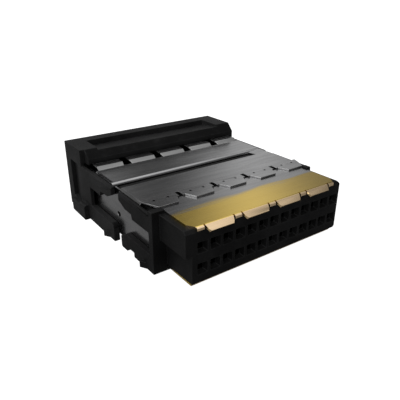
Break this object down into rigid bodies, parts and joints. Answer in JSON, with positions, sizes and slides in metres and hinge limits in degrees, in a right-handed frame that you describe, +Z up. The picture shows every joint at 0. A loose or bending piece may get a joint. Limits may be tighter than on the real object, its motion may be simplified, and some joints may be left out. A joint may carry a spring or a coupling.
{
  "type": "cable connector housing",
  "caption": "Shielded cable connector: black housing with two rows of square funnel sockets, folded steel shells, sprung ground tabs and a clip-on rear cover with a round cable outlet.",
  "frame": {"origin": "middle of the outline's floor plan, on the plane that the housing and the cover rest on", "axes": "+X along the contact rows, keyed side at -X; +Y from the mating face to the cable outlet; +Z up, towards the finger scoop"},
  "size_m": [0.032, 0.0354, 0.0114],
  "materials": {
    "housing_plastic": "matt",
    "cover_plastic": "matt",
    "retainer_plastic": "matt",
    "shield_plating": "brushed, gold plated in front",
    "shell_steel": "brushed",
    "contact_plating": "satin, plated",
    "ferrule_metal": "satin, nickel plated"
  },
  "bodies": {
    "root": {"front_housing": "housing_plastic", "rear_cover": "cover_plastic", "contact_retainer": "retainer_plastic", "front_shield_upper": "shield_plating", "front_shield_lower": "shield_plating", "shell_lid_front": "shell_steel", "shell_lid_rear": "shell_steel", "shell_tray": "shell_steel", "cable_ferrule": "ferrule_metal", "contact_upper_01": "contact_plating", "contact_upper_02": "contact_plating", "contact_upper_03": "contact_plating", "contact_upper_04": "contact_plating", "contact_upper_05": "contact_plating", "contact_upper_06": "contact_plating", "contact_upper_07": "contact_plating", "contact_upper_08": "contact_plating", "contact_upper_09": "contact_plating", "contact_upper_10": "contact_plating", "contact_upper_11": "contact_plating", "contact_upper_12": "contact_plating", "contact_upper_13": "contact_plating", "contact_lower_01": "contact_plating", "contact_lower_02": "contact_plating", "contact_lower_03": "contact_plating", "contact_lower_04": "contact_plating", "contact_lower_05": "contact_plating", "contact_lower_06": "contact_plating", "contact_lower_07": "contact_plating", "contact_lower_08": "contact_plating", "contact_lower_09": "contact_plating", "contact_lower_10": "contact_plating", "contact_lower_11": "contact_plating", "contact_lower_12": "contact_plating", "contact_lower_13": "contact_plating"}
  },
  "joints": []
}
